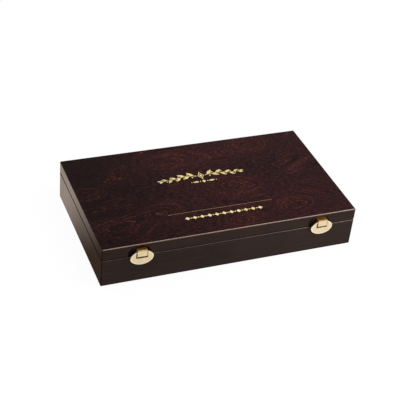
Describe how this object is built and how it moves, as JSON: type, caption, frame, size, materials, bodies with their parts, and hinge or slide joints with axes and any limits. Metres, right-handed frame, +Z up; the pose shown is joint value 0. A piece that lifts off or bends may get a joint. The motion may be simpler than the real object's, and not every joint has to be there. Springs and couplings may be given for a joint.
{
  "type": "pencil case",
  "caption": "Flat hinged hardwood art case with a padded lid, oval push clasps, and stacked trays of colour pencils.",
  "frame": {"origin": "middle of the case's underside, on the table", "axes": "+X right along the case's length, -Y to the front with the clasps, +Z up"},
  "size_m": [0.4, 0.2426, 0.065],
  "materials": {
    "dark_wood": "glossy lacquer",
    "figured_veneer": "glossy lacquer over figured veneer",
    "bottom_board": "satin lacquer",
    "brass": "satin",
    "spring_steel": "drawn wire",
    "flocked_tray": "flocked",
    "satin_ribbon": "satin weave",
    "lining_cloth": "padded cloth",
    "pencil_casing": "painted cedar",
    "pencil_lead": "pigment lead"
  },
  "bodies": {
    "base": {"base_back_wall": "dark_wood", "base_bottom_panel": "bottom_board", "base_front_wall": "dark_wood", "base_left_wall": "dark_wood", "base_right_wall": "dark_wood", "clasp_left_base_plate": "brass", "clasp_left_pivot_pin": "brass", "clasp_left_plate_nails": "brass", "clasp_right_base_plate": "brass", "clasp_right_pivot_pin": "brass", "clasp_right_plate_nails": "brass", "hinge_left_base_leaf": "brass", "hinge_left_base_screws": "brass", "hinge_left_pin": "brass", "hinge_right_base_leaf": "brass", "hinge_right_base_screws": "brass", "hinge_right_pin": "brass", "lift_ribbon_back": "satin_ribbon", "lift_ribbon_front": "satin_ribbon", "lower_left_pencil_casings": "pencil_casing", "lower_left_pencil_leads": "pencil_lead", "lower_right_pencil_casings": "pencil_casing", "lower_right_pencil_leads": "pencil_lead", "lower_tray": "flocked_tray", "upper_left_pencil_casings": "pencil_casing", "upper_left_pencil_leads": "pencil_lead", "upper_right_pencil_casings": "pencil_casing", "upper_right_pencil_leads": "pencil_lead", "upper_tray": "flocked_tray"},
    "lid": {"clasp_left_keeper": "brass", "clasp_left_keeper_nails": "brass", "clasp_right_keeper": "brass", "clasp_right_keeper_nails": "brass", "hinge_left_lid_leaf": "brass", "hinge_left_lid_screws": "brass", "hinge_right_lid_leaf": "brass", "hinge_right_lid_screws": "brass", "lid_back_wall": "dark_wood", "lid_front_wall": "dark_wood", "lid_left_wall": "dark_wood", "lid_lining": "lining_cloth", "lid_right_wall": "dark_wood", "lid_top_panel": "figured_veneer"},
    "clasp_left": {"clasp_left_hook_pin": "brass", "clasp_left_oval_lever": "brass", "clasp_left_spring": "spring_steel"},
    "clasp_right": {"clasp_right_hook_pin": "brass", "clasp_right_oval_lever": "brass", "clasp_right_spring": "spring_steel"}
  },
  "joints": [
    {"name": "lid_hinge", "type": "hinge", "parent": "base", "child": "lid", "pos_m": [0, 0.11685, 0.0454], "axis": [-1, 0, 0], "range_deg": [0, 100]},
    {"name": "clasp_left_press", "type": "hinge", "parent": "base", "child": "clasp_left", "pos_m": [-0.142, -0.1169, 0.0415], "axis": [-1, 0, 0], "range_deg": [0, 10], "stiffness_Nm_per_rad": 0.03, "springref_deg": -45.84},
    {"name": "clasp_right_press", "type": "hinge", "parent": "base", "child": "clasp_right", "pos_m": [0.142, -0.1169, 0.0415], "axis": [-1, 0, 0], "range_deg": [0, 10], "stiffness_Nm_per_rad": 0.03, "springref_deg": -45.84}
  ]
}
